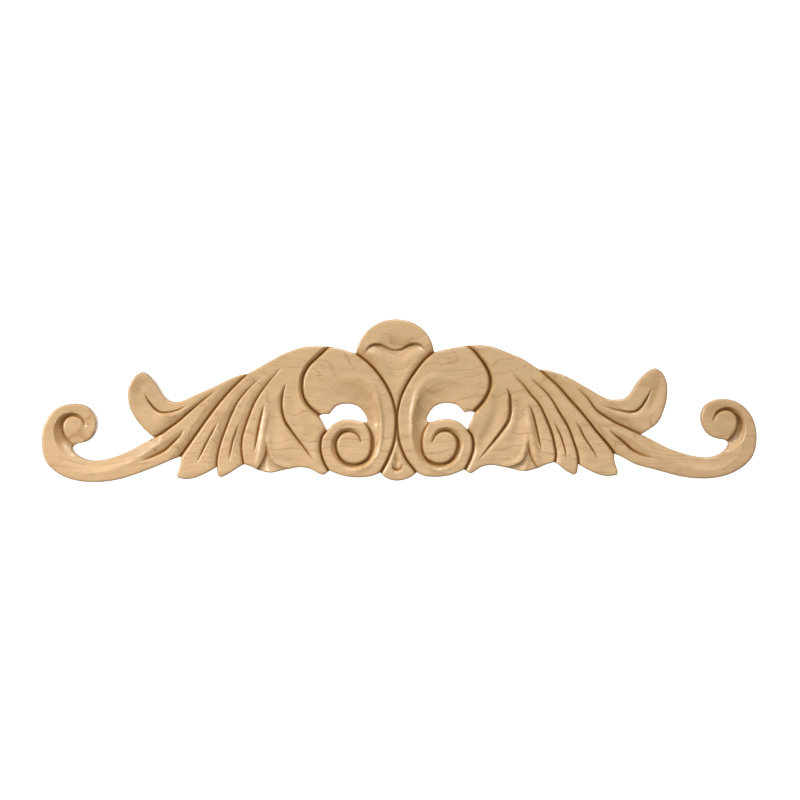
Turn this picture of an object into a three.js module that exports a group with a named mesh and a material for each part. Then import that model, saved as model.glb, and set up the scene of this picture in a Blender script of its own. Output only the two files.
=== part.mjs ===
// Carved applique of plain maple, made to be fixed flat against a mantel, a headboard or a rail.
// One piece of wood: two big scrolls back to back, with a lobe between them at the top and a
// drop at the foot, and on each side a fan of leaves and feathers, an upright leaf, and a stem
// that ends in an open volute. The back is flat. Lengths are in millimetres.
// The carved face looks towards -Y, the back lies on y = 0, and Z is up. One half is drawn. Its
// mirror image makes the left of the piece, and the drawing itself the right, and on both the
// carver's hand wandered a little, most of all on the right.
import * as THREE from "three";

// Overall size: end to end, and from the foot of the drop to the top of the lobe.
const LENGTH = 450;
const HEIGHT = 101.5;
// Thickness of the wood before the grooves are cut, at the middle and at the two ends.
const MIDDLE_THICKNESS = 15;
const END_THICKNESS = 10.5;
// Every edge of the face falls away a little towards the outline.
const EDGE_FALL = 0.4;
const EDGE_WIDTH = 2.4;
// A groove has one steep side this wide. The other side slopes up to the face slowly, but for
// the keen cut of the V tool at its bottom, which is this wide.
const STEEP_WIDTH = 1.2;
const KEEN_WIDTH = 1.4;
// How deep each kind of groove goes below the face.
const SCROLL_DEPTH = 4.4;
const FAN_DEPTH = 4.6;
const FEATHER_DEPTH = 3.2;
const VEIN_DEPTH = 2;
const STEM_DEPTH = 3.6;
const VOLUTE_DEPTH = 5.2;
const COVE_DEPTH = 2.2;
const CHANNEL_DEPTH = 1.6;
const LOBE_DEPTH = 3;
const GAP_DEPTH = 2.4;
// How far the rounded ridges stand above the face, and how far the soft hollows go below it.
const SCROLL_CREST = 1;
const FOLD_CREST = 0.7;
const VEIN_CREST = 1;
const FEATHER_SWELL = 0.3;
const LEAF_ROLL = 0.8;
const LEAF_HOLLOW = 1;
const CURL_HOLLOW = 0.9;
const LOBE_HOLLOW = 1.3;
const DROP_GOUGE = 2.2;
// How far apart the corners of the facets are: on the outline, along a groove, on the open face.
const EDGE_STEP = 2.3;
const GROOVE_STEP = 2.9;
const FACE_STEP = 4.1;

// The drawing is 225 units from the middle line to either end and 101.5 units high.
const half = LENGTH / 2;
const acrossScale = LENGTH / 450;
const upScale = HEIGHT / 101.5;

// A smooth line through points of the drawing, each one given as across and up.
function line(...points) {
  const through = points.map(([x, z]) => new THREE.Vector3(x * acrossScale, z * upScale, 0));
  return new THREE.CatmullRomCurve3(through, false, "centripetal");
}

// An arc of the drawing round a centre on the middle line, from one angle to another in degrees
// from straight right.
function arc(up, radius, from, to) {
  const points = [];
  for (let i = 0; i <= 6; i++) {
    const a = THREE.MathUtils.degToRad(from + ((to - from) * i) / 6);
    points.push([radius * Math.cos(a), up + radius * Math.sin(a)]);
  }
  points[0][0] = from === -90 ? 0 : points[0][0];
  points[6][0] = to === 90 ? 0 : points[6][0];
  return line(...points);
}

// The outline of one half, stretch by stretch from the foot of the drop out to the volute and
// back along the top to the lobe. Each stretch ends in a notch or at the tip of a leaf.
const outline = [
  arc(-24.6, 13.4, -90, -38.5),
  line([10.5, -32.95], [16, -35], [25, -35.8], [34, -34.6], [42.5, -31.5]),
  line([42.5, -31.5], [46.5, -34], [50, -32.7], [54.5, -30.3], [61, -29.2], [70.5, -30.7],
    [80, -32.5], [88, -30.7]),
  line([88, -30.7], [91.5, -28.7], [96.5, -27]),
  line([96.5, -27], [100.5, -29.2], [106.5, -33], [110.8, -35.2]),
  line([110.8, -35.2], [112.7, -34.2], [113.6, -31.5], [113.9, -28.5]),
  line([113.9, -28.5], [119, -31.6], [127, -35.2], [133, -36.2], [138.3, -35.3]),
  line([138.3, -35.3], [138.8, -33], [137.6, -29], [136.7, -25], [137, -22]),
  line([137, -22], [143, -24.2], [152, -28], [164.5, -32.8], [176.5, -36.3], [187, -37.8],
    [199, -37.6], [209.5, -35], [217.5, -30.3], [222.8, -24], [224.9, -15], [224.2, -5],
    [221.5, 2], [217, 7.2], [211.5, 10.4], [205, 11.7], [199, 10.8], [194, 8], [191, 3.5],
    [190.3, -1], [191.5, -5.5], [194, -9.5], [198, -12.4], [204.5, -14]),
  line([204.5, -14], [206.6, -15.2], [206.9, -17.2], [204.8, -20.4], [200, -23.4], [194, -24.7],
    [188, -24.3], [180, -22.4], [170, -18.6], [160, -13.3], [153.5, -10]),
  line([153.5, -10], [156.5, -7.5], [161.5, -2.8], [166, 3], [169, 9], [170, 15.5],
    [169.7, 20.5], [168, 25], [165, 29], [160.8, 31.5]),
  line([160.8, 31.5], [157.8, 30.2], [154, 26.5], [151, 22.5], [148.5, 18], [146, 14.7],
    [143, 12.8], [137, 12.7], [129, 16], [116.5, 21.3], [103, 27.6], [98, 29.2], [94.5, 29.5]),
  line([94.5, 29.5], [90.5, 31.7], [84, 35.3], [76, 39.7], [68, 43.4], [60, 45.9], [52, 46.8],
    [42, 46.5]),
  line([42, 46.5], [35, 44.9], [25.4, 42]),
  arc(37.7, 25.77, 9.6, 90),
];

// The opening under the scroll, which goes right through the wood.
const opening = [
  line([49.5, 3], [46.5, 4], [43, 4]),
  line([43, 4], [39.2, 8.4], [35.5, 10], [31.5, 10.5], [27.5, 10], [23.8, 8.2], [20.4, 4],
    [19, 0.7], [19.3, -1], [21, -1.5]),
  line([21, -1.5], [27.5, 0], [31.5, 0.4], [35.5, 0], [40, -2], [44.6, -6.5]),
  line([44.6, -6.5], [46.2, -3], [49.5, 3]),
];

// The grooves of one half. Each one follows a line; steep says which hand of the line its steep
// side is on, deep is its depth at even steps along the line, and slope is how far out its slow
// side reaches, at even steps too. Keen is the share of its depth that the V tool cuts, and dish
// says how the rest of the slow side goes: above nought it is dished out with a gouge up to an
// arris, below it rolls up soft.
const grooves = [
  // Between the stem with its leaf and the fan of feathers.
  { along: line([91, 32.5], [94.5, 29.5], [104.5, 20.2], [112.5, 11.5], [120.5, 1.5],
      [127, -7.5], [137, -22], [139.5, -25.5]),
    steep: "right", deep: [0.55, 0.7, 0.8, 0.9, 1].map((s) => s * FAN_DEPTH), slope: [4, 5, 5, 5],
    keen: 0.5, dish: -0.4 },
  // Between the first and the second feather, and between the second and the third.
  { along: line([86, 26.8], [91, 23], [96.5, 17.5], [100.8, 12], [104.5, 5], [108.3, -4],
      [112, -14.5], [113.8, -23.5], [114, -31.5]),
    steep: "right", deep: [0, 0.55, 0.9, 1, 1, 1].map((s) => s * FEATHER_DEPTH), slope: [2, 4, 5, 5],
    keen: 0.5, dish: -0.4 },
  { along: line([72.5, 33.5], [78, 28], [84, 21], [89.5, 13], [93.2, 4.5], [96.5, -5],
      [98.1, -12], [98.2, -18.5], [96.3, -30]),
    steep: "right", deep: [0, 0.55, 0.9, 1, 1, 1].map((s) => s * FEATHER_DEPTH), slope: [2, 4, 5, 5],
    keen: 0.5, dish: -0.4 },
  // The veins of the three feathers.
  { along: line([84, 10.5], [86, 3.5], [87.7, -5], [89, -13], [90.2, -20.5]),
    steep: "right", deep: [0, 1, 1.2, 1, 0].map((s) => s * VEIN_DEPTH), slope: [2, 4, 4],
    keen: 0.7, dish: -0.8 },
  { along: line([99.5, -0.5], [101.7, -6.3], [103.7, -12], [105, -18], [106, -25.5]),
    steep: "right", deep: [0, 0.8, 1, 0.8, 0].map((s) => s * VEIN_DEPTH), slope: [1.5, 3, 3],
    keen: 0.7, dish: -0.8 },
  { along: line([113, 0], [116.8, -6.3], [120.7, -13.5], [123.7, -20], [126.5, -26.5]),
    steep: "right", deep: [0, 0.8, 1, 0.8, 0].map((s) => s * VEIN_DEPTH), slope: [1.5, 3, 3],
    keen: 0.7, dish: -0.8 },
  // The leaf under the stem, and the upright leaf above it.
  { along: line([134.5, -5], [137.5, -9], [143.5, -15], [147.5, -18.5], [153.5, -21.5],
      [162, -25]),
    steep: "right", deep: [0, 0.8, 1, 0.7, 0].map((s) => s * STEM_DEPTH), slope: [2, 5, 4],
    keen: 0.4, dish: -0.4 },
  { along: line([156, -11.5], [153.5, -10], [147.5, -6.5], [143.5, -3.5], [139, -0.3],
      [131, 6.5], [123, 13], [114, 19.5]),
    steep: "left", deep: [0.7, 1, 0.9, 0.8, 0.5, 0].map((s) => s * STEM_DEPTH), slope: [4, 5, 4, 2],
    keen: 0.5, dish: -0.8 },
  // The fold inside the upright leaf.
  { along: line([159.5, 18.5], [158, 14.7], [156, 11.7], [152.5, 7.8], [149, 6], [145, 6],
      [139, 7.3], [131, 11]),
    steep: "right", deep: [0, 1.2, 1.3, 0.8, 0.5, 0].map((s) => s * VEIN_DEPTH), slope: [2, 4, 3, 2],
    keen: 0.6, dish: -0.8 },
  // The vein of the big leaf beside the scroll.
  { along: line([70, 23.5], [72, 19], [73.2, 13], [73, 6.5], [71, 0], [67, -6], [59.5, -15.5],
      [54.5, -22.5], [52, -26.5]),
    steep: "right", deep: [0, 1.5, 1.9, 1.8, 1.4, 0.9, 0].map((s) => s * VEIN_DEPTH),
    slope: [1.5, 3, 3, 2.5, 2], keen: 0.6, dish: 0.3 },
  // Round the outside of the scroll, above its opening and below it.
  { along: line([38.5, 49], [42, 46.5], [46, 43], [50.5, 39], [54.5, 35.5], [57.5, 31.5],
      [59.5, 27], [60.2, 20.5], [59, 14.5], [56, 9.7], [49.3, 4], [46, 1.5]),
    steep: "right", deep: [0.7, 0.9, 1, 1, 1, 0.9].map((s) => s * SCROLL_DEPTH),
    slope: [2.2, 2.4, 2.4, 2.4], keen: 0.4, dish: 0.3 },
  { along: line([43.5, -4.5], [45, -6.8], [47.2, -10], [48.2, -15], [47.8, -20.5], [46, -26],
      [43, -31.5], [41.5, -34]),
    steep: "right", deep: [0.8, 0.9, 0.9, 0.8].map((s) => s * SCROLL_DEPTH), slope: [3, 3.5, 3],
    keen: 0.6, dish: -0.4 },
  // Down the middle, where the two scrolls meet the lobe, each other and the drop.
  { along: line([28, 44.5], [25, 42], [20.5, 38.7], [16.5, 35.2], [12.5, 30.8], [8.5, 25.3],
      [5.3, 19.7], [3, 14.5], [1.5, 9], [0.6, 4], [0.5, -2.5], [1.1, -10], [2.2, -15.5],
      [4.2, -21], [6.7, -26.5], [10.4, -33], [12, -35.5]),
    steep: "left", deep: [0.8, 0.9, 0.8, 0.7, 0.8, 0.9].map((s) => s * SCROLL_DEPTH),
    slope: [5, 4, 3, 3, 3], keen: 0.6, dish: -0.8 },
  // The spiral round the eye of the scroll.
  { along: line([20.8, -1], [18.6, -4.5], [16.7, -8.5], [16, -13], [16.3, -19], [18.5, -24],
      [23, -27], [27.7, -27.7], [32.2, -26.6], [36, -23.3], [38.4, -18], [38.6, -14],
      [37.3, -10.5], [34.5, -7.7], [31.5, -6.9], [28, -7.3], [25, -9.5], [23, -13.3]),
    steep: "left", deep: [0.65, 0.95, 1, 1, 1, 0.9, 0.3].map((s) => s * SCROLL_DEPTH),
    slope: [11, 7.5, 5.8, 3.9, 2.8, 2.8, 2.8, 2.8, 2.5, 2.2, 1.2], keen: 0.25, dish: 0.8 },
  // The cove that runs round the top of the opening.
  { along: line([45.5, 3], [43, 4], [39.2, 8.4], [31.5, 10.5], [23.8, 8.2], [20.4, 4],
      [19, 0.7], [18.4, -4], [16.7, -8.5], [16, -13]),
    steep: "left", deep: [0, 0.1, 0.35, 0.75, 1.1, 1.4, 0.9, 0].map((s) => s * COVE_DEPTH),
    slope: [4, 6.5, 13.5, 14.4, 13, 10.5, 9, 9, 7, 6], keen: 0, dish: 1.2 },
  // The upper edge of the hollow in the lobe.
  { along: line([19.2, 41.5], [18.3, 44.5], [16.5, 46.4], [13.5, 47.5], [10, 47.4], [7, 46.3],
      [4, 44.7], [0, 43.7]),
    steep: "right", deep: [0, 0.7, 1, 0.8, 0.4].map((s) => s * LOBE_DEPTH), slope: [5, 7, 8, 8],
    keen: 0.15, dish: -0.3 },
  // The open cove round the eye of the volute at the end.
  { along: line([198, -2], [199.3, 1.3], [202, 3.5], [205.2, 4.2], [208.7, 3.3], [211.3, 0.8],
      [212.6, -2.5], [212.4, -6], [210.8, -9.8], [207.5, -13.2], [205, -15.5]),
    steep: "right", deep: [0.15, 0.6, 0.8, 1, 0.9, 0.6].map((s) => s * VOLUTE_DEPTH),
    slope: [1, 1.5, 2.1, 3.4, 5.2, 7, 8], keen: 0.1, dish: 1 },
  // The shallow channel along the inner side of the stem, up to its crest.
  { along: line([205, -15.5], [206.9, -17.2], [204.8, -20.4], [200, -23.4], [194, -24.7],
      [188, -24.3], [180, -22.4], [170, -18.6], [160, -13.3], [153.5, -10]),
    steep: "right", deep: [0.3, 0.9, 1, 1, 1, 0.9, 0.6].map((s) => s * CHANNEL_DEPTH),
    slope: [8, 8.5, 7.5, 7, 7, 6.5, 5], keen: 0, dish: 1 },
  // The gap between the third feather and the big leaf, where a lower leaf shows.
  { along: line([82.6, -13], [82.3, -17], [82.8, -21], [84.8, -26], [89, -32.5]),
    steep: "left", deep: [0, 0.9, 1, 0.9].map((s) => s * GAP_DEPTH), slope: [0.5, 3, 7, 9],
    keen: 0.1, dish: 0.9 },
  { along: line([82.5, -15], [81.6, -20], [79.8, -24.5], [76.5, -27.8], [71, -29.8], [66, -30.3]),
    steep: "right", deep: [0, 0.9, 0.8, 0.5, 0].map((s) => s * GAP_DEPTH), slope: [0.5, 2.5, 5, 6, 6],
    keen: 0, dish: 0.9 },
];

// Rounded ridges and hollows: a soft bank along a line, so high at even steps along it and
// reaching so far to both sides. A hollow has a negative height.
const banks = [
  // The crest of the scroll, from over the opening down and round its foot.
  { along: line([31, 26.5], [24, 26.5], [17.5, 23.5], [13.7, 17.6], [11.2, 9.3], [10, 0],
      [10.5, -9.7], [12.3, -17], [15, -23], [20.5, -29.3], [28, -32]),
    high: [0, 0.5, 1, 1, 1, 0.6, 0.3].map((s) => s * SCROLL_CREST), wide: [5, 4, 3, 3, 3, 3.5] },
  // The ridge beside the vein of the third feather.
  { along: line([82.3, 11], [83.6, 0], [84.9, -10], [86, -19], [88, -28]),
    high: [0, 0.8, 1, 0.9, 0.3].map((s) => s * VEIN_CREST), wide: [2.5, 3, 3] },
  // The edge of the big leaf curls up beside the gap, and the leaf is hollow on both sides of
  // its vein.
  { along: line([81.5, -6], [81, -13], [80, -19.5], [77.5, -24.5], [73.5, -27.8], [68, -29.3]),
    high: [0, 0.8, 1, 1, 0.5].map((s) => s * LEAF_ROLL), wide: [2.5, 3, 3.5] },
  { along: line([77, 14], [77.5, 4], [76.5, -6], [73, -17]),
    high: [0, -1, -1, 0].map((s) => s * LEAF_HOLLOW), wide: [5, 6, 6] },
  { along: line([65, 20], [66, 9], [62, -2], [55.5, -12], [51.5, -22]),
    high: [0, -0.8, -1, -1, 0].map((s) => s * LEAF_HOLLOW), wide: [5, 6, 5] },
  // The feathers are a little full between their grooves.
  { along: line([97, 21], [108, 6], [116, -8], [122, -22]),
    high: [0, 1, 1, 0].map((s) => s * FEATHER_SWELL), wide: [6, 7, 7] },
  // The upright leaf: a hollow up its middle and a ridge under its fold.
  { along: line([160, 27], [163, 18], [160.5, 9], [154, 2]),
    high: [0, -1, -1, 0].map((s) => s * CURL_HOLLOW), wide: [5, 6, 6] },
  { along: line([154, -2], [147, 2.5], [139, 4.7], [130, 9.5], [121, 16]),
    high: [0, 0.8, 1, 0.7, 0].map((s) => s * FOLD_CREST), wide: [5, 4, 3] },
  // The lobe: a hollow like a heart under its rim, and the drop with its gouge cut at the foot.
  { along: line([0, 42], [0, 32], [0, 18]),
    high: [-1, -0.9, 0].map((s) => s * LOBE_HOLLOW), wide: [16, 10, 4] },
  { along: line([0, -16], [0, -21], [0, -26], [0, -30]),
    high: [0, -0.4, -1, -0.9].map((s) => s * DROP_GOUGE), wide: [1.5, 2.8, 3.6] },
];

// Where each half departs from the drawing: a place on it, how far the work there has wandered
// outwards and upwards, and how wide the wander is. The left half is a little narrower.
const leftWanders = [
  [28, -5, -0.7, 0, 16], [75, 20, -1.2, 0.3, 30], [120, -5, -0.8, -0.2, 25],
  [165, 10, -0.8, 0, 25], [200, -20, -1.2, 0.3, 25], [212, -12, -0.7, 0, 18],
];
const rightWanders = [
  // The lobe and the scroll.
  [24, 42, -1.5, 0.5, 12], [45, 44, 3.2, 0, 10], [57, 13, -2, 1.5, 13], [50, 2, 0.5, 1, 6],
  [28, -15, -0.5, -0.2, 14],
  // The feathers start lower and lie nearer the middle.
  [71, 10, -1.5, -0.3, 8], [74, 28, -0.5, -5, 12], [80, 38, 0, 2.3, 9], [86, 17, -1.5, -1, 8],
  [96, 27, -4.3, 2, 10], [112, 27, -0.7, 2.3, 9], [106, 10, -2.2, -1.7, 14],
  [118, -12, -1.3, -0.6, 8],
  // The upright leaf, the stem and the volute.
  [128, 9, -2, -1.9, 8], [135, 1, -1.5, -2.5, 12], [150, 7, 0.4, -1.5, 9], [151, -27, -1, -1.3, 10],
  [161, 29, 2, 0, 10], [163, -3, 2, -0.5, 8], [208, 1, 1, 1, 8], [212, -12, 1.8, 0, 18],
  [188, -29, 1.4, -0.3, 16], [192, 1, 0.9, 0.4, 8], [141, 12, 0, 0.8, 8],
  // Along the foot.
  [82, -20, 0.8, -0.5, 12], [97, -25, 2.3, 0, 8], [55, -31, -1, 0.7, 10], [10.5, -33, 1.8, 0, 7],
];

// A point of the drawing as it lies on one half. The middle line stays where it is.
function wander([x, z], wanders) {
  let across = x;
  let up = z;
  for (const [cx, cz, dx, dz, wide] of x === 0 ? [] : wanders) {
    const off = Math.hypot(x / acrossScale - cx, z / upScale - cz) / wide;
    const share = Math.exp(-off * off);
    across += dx * acrossScale * share;
    up += dz * upScale * share;
  }
  return [across, up];
}

// A value at a share of the way along, from values given at even steps.
function blend(values, share) {
  const place = share * (values.length - 1);
  const i = Math.min(values.length - 2, Math.floor(place));
  return values[i] + (values[i + 1] - values[i]) * (place - i);
}

// Even points along a curve, about a step apart.
function pace(curve, step, fewest = 2) {
  const count = Math.max(fewest, Math.round(curve.getLength() / step));
  return curve.getSpacedPoints(count).map((p) => [p.x, p.y]);
}

// Where a point lies against a line of points: how far off, on which hand, how far along.
function against(points, x, z) {
  let nearest = Infinity;
  let hand = "left";
  let share = 0;
  for (let i = 0; i + 1 < points.length; i++) {
    const [ax, az] = points[i];
    const dx = points[i + 1][0] - ax;
    const dz = points[i + 1][1] - az;
    const t = Math.max(0, Math.min(1, ((x - ax) * dx + (z - az) * dz) / (dx * dx + dz * dz)));
    const off = Math.hypot(x - ax - t * dx, z - az - t * dz);
    if (off < nearest) {
      nearest = off;
      hand = dx * (z - az) - dz * (x - ax) > 0 ? "left" : "right";
      share = (i + t) / (points.length - 1);
    }
  }
  return { off: nearest, hand, share };
}

for (const shape of [...grooves, ...banks]) shape.points = pace(shape.along, 1);

// The two closed edges of the half: round the outside, and round the opening.
const outside = outline.flatMap((part) => pace(part, EDGE_STEP).slice(0, -1));
outside.push([0, outline.at(-1).getPoint(1).y]);
outside[0][0] = 0;
const inside = opening.flatMap((part) => pace(part, EDGE_STEP).slice(0, -1));
const rim = [outside, [...inside, inside[0]]];

// How far a point is from the nearest edge of the wood.
function toEdge(x, z) {
  return Math.min(...rim.map((points) => against(points, x, z).off));
}

// The height of the carved face above the back: the plain thickness with its banks, less the
// deepest of the grooves there, less the fall at the edge.
function faceHeight(x, z) {
  const fullness = Math.cos((Math.PI / 2) * Math.min(1, x / half)) ** 2;
  let height = END_THICKNESS + (MIDDLE_THICKNESS - END_THICKNESS) * fullness;
  for (const { points, high, wide } of banks) {
    const { off, share } = against(points, x, z);
    const reach = blend(wide, share) * acrossScale;
    if (off < reach) height += blend(high, share) * Math.cos(((Math.PI / 2) * off) / reach) ** 2;
  }
  let cut = 0;
  for (const { points, steep, deep, slope, keen, dish } of grooves) {
    const { off, hand, share } = against(points, x, z);
    const u = Math.min(1, off / (hand === steep ? STEEP_WIDTH : blend(slope, share) * acrossScale));
    const slow = keen * Math.max(0, 1 - off / KEEN_WIDTH) + (1 - keen) * (1 - u) * (1 + dish * u);
    cut = Math.max(cut, blend(deep, share) * (hand === steep ? 1 - u : slow));
  }
  return height - cut - EDGE_FALL * Math.max(0, 1 - toEdge(x, z) / EDGE_WIDTH) ** 2;
}

// Is a point inside the closed line of points?
function within(points, x, z) {
  let is = false;
  points.forEach(([ax, az], i) => {
    const [bx, bz] = points[(i + 1) % points.length];
    if (az > z !== bz > z && x < ax + ((z - az) / (bz - az)) * (bx - ax)) is = !is;
  });
  return is;
}

const onWood = (x, z) => x > 0 && within(outside, x, z) && !within(inside, x, z);

// The corners of the facets: first the edges and the middle line, then the rows along every
// groove and edge, then an even field over the rest. One too near an earlier one is left out.
const middle = [];
const middleCount = Math.round(HEIGHT / GROOVE_STEP);
for (let i = 1; i < middleCount; i++) {
  const share = i / middleCount;
  middle.push([0, outside.at(-1)[1] + (outside[0][1] - outside.at(-1)[1]) * share]);
}
const edgeLoop = [...outside, ...middle];
const corners = [...edgeLoop, ...inside];

function addCorner(x, z, clear) {
  if (x < clear * 0.8 || corners.some(([a, b]) => Math.hypot(a - x, b - z) < clear)) return;
  if (onWood(x, z) && toEdge(x, z) > clear * 0.8) corners.push([x, z]);
}

function addRow(curve, step, clear, offset) {
  const count = Math.max(3, Math.round(curve.getLength() / step));
  for (let i = 0; i <= count; i++) {
    const p = curve.getPointAt(i / count);
    const t = curve.getTangentAt(i / count);
    const left = offset(i / count);
    if (!Number.isNaN(left)) addCorner(p.x - t.y * left, p.y + t.x * left, clear);
  }
}

// The rows of a groove: its bottom, the top of its steep side, part way up its slow side, and
// the arris where a dished side ends.
const grooveRows = [() => 0, () => STEEP_WIDTH, (reach) => -reach * 0.45,
  (reach, dish) => (dish > 0 ? -reach : NaN)];
for (const rowAt of grooveRows) {
  for (const { along, steep, deep, slope, dish } of grooves) {
    const hand = steep === "left" ? 1 : -1;
    const reachAt = (share) => blend(slope, share) * acrossScale;
    const offset = (share) =>
      blend(deep, share) > VEIN_DEPTH / 8 ? hand * rowAt(reachAt(share), dish) : NaN;
    addRow(along, GROOVE_STEP, 1, offset);
  }
}
// A row where the face begins to fall away to the edges.
for (const part of outline) addRow(part, EDGE_STEP, 1.5, () => EDGE_WIDTH * 0.4);
for (const part of opening) addRow(part, EDGE_STEP, 1.5, () => -EDGE_WIDTH * 0.4);
const rows = Math.ceil((HEIGHT * 1.4) / FACE_STEP);
for (let row = -rows; row < rows; row++) {
  for (let i = 0; i < half / FACE_STEP; i++) {
    addCorner((i + (row & 1 ? 0.75 : 0.25)) * FACE_STEP, row * FACE_STEP * 0.866, FACE_STEP * 0.5);
  }
}

// Joins corners into the roundest triangles: each corner is put in, in turn, and the triangles
// whose circle it falls in are opened and closed again round it.
function joinUp(points) {
  const far = 20 * LENGTH;
  const all = [...points, [-far, -far], [far, -far], [0, far]];
  const circle = (a, b, c) => {
    const [ax, az] = all[a];
    const bx = all[b][0] - ax;
    const bz = all[b][1] - az;
    const cx = all[c][0] - ax;
    const cz = all[c][1] - az;
    const d = 2 * (bx * cz - bz * cx);
    const ux = (cz * (bx * bx + bz * bz) - bz * (cx * cx + cz * cz)) / d;
    const uz = (bx * (cx * cx + cz * cz) - cx * (bx * bx + bz * bz)) / d;
    return { a, b, c, x: ax + ux, z: az + uz, r: ux * ux + uz * uz };
  };
  let triangles = [circle(points.length, points.length + 1, points.length + 2)];
  points.forEach(([x, z], index) => {
    const kept = [];
    const open = new Map();
    for (const t of triangles) {
      if ((x - t.x) ** 2 + (z - t.z) ** 2 >= t.r) {
        kept.push(t);
        continue;
      }
      for (const [p, q] of [[t.a, t.b], [t.b, t.c], [t.c, t.a]]) {
        if (!open.delete(q + " " + p)) open.set(p + " " + q, [p, q]);
      }
    }
    for (const [p, q] of open.values()) kept.push(circle(p, q, index));
    triangles = kept;
  });
  return triangles.filter((t) => Math.max(t.a, t.b, t.c) < points.length);
}

const facets = joinUp(corners).filter(({ a, b, c }) => {
  const x = (corners[a][0] + corners[b][0] + corners[c][0]) / 3;
  const z = (corners[a][1] + corners[b][1] + corners[c][1]) / 3;
  return onWood(x, z);
});

// The solid: the carved face of both halves, the flat back, and the walls between them.
const positions = [];
const triangles = [];
const addPoint = (x, y, z) => positions.push(x, y, z) / 3 - 1;
const heights = corners.map(([x, z]) => faceHeight(x, z));
const leftPlaces = corners.map((corner) => wander(corner, leftWanders)).map(([x, z]) => [-x, z]);
const rightPlaces = corners.map((corner) => wander(corner, rightWanders));
const left = leftPlaces.map(([x, z], i) => addPoint(x, -heights[i], z));
const right = rightPlaces.map(([x, z], i) =>
  corners[i][0] === 0 ? left[i] : addPoint(x, -heights[i], z),
);
for (const { a, b, c } of facets) {
  triangles.push(left[a], left[c], left[b]);
  triangles.push(right[a], right[b], right[c]);
}

const holeStart = edgeLoop.length;
const outsideIndex = outside.map((_, i) => i);
const insideIndex = inside.map((_, i) => holeStart + i);
const back = new Map();
for (const i of [...outsideIndex, ...insideIndex]) {
  back.set(left[i], addPoint(leftPlaces[i][0], 0, leftPlaces[i][1]));
  if (right[i] !== left[i]) back.set(right[i], addPoint(rightPlaces[i][0], 0, rightPlaces[i][1]));
}

function addWall(loop) {
  loop.forEach((a, i) => {
    const b = loop[(i + 1) % loop.length];
    triangles.push(b, a, back.get(a), b, back.get(a), back.get(b));
  });
}

// Whole loops in the direction that keeps the wood on the left hand.
const round = [
  ...outsideIndex.map((i) => right[i]),
  ...outsideIndex.slice(1, -1).reverse().map((i) => left[i]),
];
const openings = [insideIndex.map((i) => left[i]), insideIndex.map((i) => right[i])];
const area = (loop) =>
  loop.reduce((sum, a, i) => {
    const b = loop[(i + 1) % loop.length];
    return sum + positions[3 * a] * positions[3 * b + 2] - positions[3 * b] * positions[3 * a + 2];
  }, 0);
const turned = (loop, sign) => (Math.sign(area(loop)) === sign ? loop : [...loop].reverse());
const loops = [turned(round, 1), ...openings.map((loop) => turned(loop, -1))];
loops.forEach(addWall);

const flat = loops.map((loop) =>
  loop.map((i) => new THREE.Vector2(positions[3 * i], positions[3 * i + 2])),
);
const loopPoints = loops.flat();
for (const [a, b, c] of THREE.ShapeUtils.triangulateShape(flat[0], flat.slice(1))) {
  const ring = [loopPoints[a], loopPoints[b], loopPoints[c]];
  const [p, q, r] = turned(ring, -1).map((i) => back.get(i));
  triangles.push(p, q, r);
}

const geometry = new THREE.BufferGeometry();
geometry.setAttribute("position", new THREE.Float32BufferAttribute(positions, 3));
geometry.setIndex(triangles);
geometry.computeVertexNormals();

const maple = new THREE.MeshStandardMaterial({ color: 0xd4b084, roughness: 0.6 });
const applique = new THREE.Mesh(geometry, maple);
applique.name = "applique";
const piece = new THREE.Group();
piece.name = "carved_applique";
piece.add(applique);

export default piece;
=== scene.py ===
import math

import bpy
import numpy as np
from mathutils import Matrix, Vector
from mathutils.geometry import delaunay_2d_cdt


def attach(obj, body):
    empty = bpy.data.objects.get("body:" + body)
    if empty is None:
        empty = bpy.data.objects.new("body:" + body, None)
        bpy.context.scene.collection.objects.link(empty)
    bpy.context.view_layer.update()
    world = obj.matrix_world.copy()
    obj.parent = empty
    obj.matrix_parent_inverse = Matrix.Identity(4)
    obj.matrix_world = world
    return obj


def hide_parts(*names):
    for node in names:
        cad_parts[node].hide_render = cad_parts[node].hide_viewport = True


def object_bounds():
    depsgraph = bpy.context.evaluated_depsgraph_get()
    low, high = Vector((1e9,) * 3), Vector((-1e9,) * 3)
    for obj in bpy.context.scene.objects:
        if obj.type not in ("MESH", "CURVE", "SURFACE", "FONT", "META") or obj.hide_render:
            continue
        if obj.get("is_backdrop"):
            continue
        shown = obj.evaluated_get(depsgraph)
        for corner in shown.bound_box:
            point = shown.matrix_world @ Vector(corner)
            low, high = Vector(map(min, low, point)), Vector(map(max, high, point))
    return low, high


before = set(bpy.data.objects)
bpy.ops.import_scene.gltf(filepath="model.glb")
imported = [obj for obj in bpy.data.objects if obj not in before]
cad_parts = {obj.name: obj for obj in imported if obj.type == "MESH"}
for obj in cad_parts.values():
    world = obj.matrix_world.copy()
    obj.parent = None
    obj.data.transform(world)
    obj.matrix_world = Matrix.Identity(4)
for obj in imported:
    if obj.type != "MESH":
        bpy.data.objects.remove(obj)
board_low, board_high = (np.array(corner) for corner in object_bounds())

# The blank: one board of plain maple, fretsawn to a row of leaf tips and notches, with two
# openings under the scrolls sawn right through. One half is drawn here, in millimetres across
# from the middle line and up; the other half is sawn from the same drawing turned over.

HALF_LENGTH = 225.0
RIM_STEP, GROOVE_STEP = 0.7, 0.5
# Each bit of a smooth line is worked out at this many places, and many places are looked at in
# batches of this size, to spare memory.
CURVE_STEPS, BATCH = 40, 5000


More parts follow.
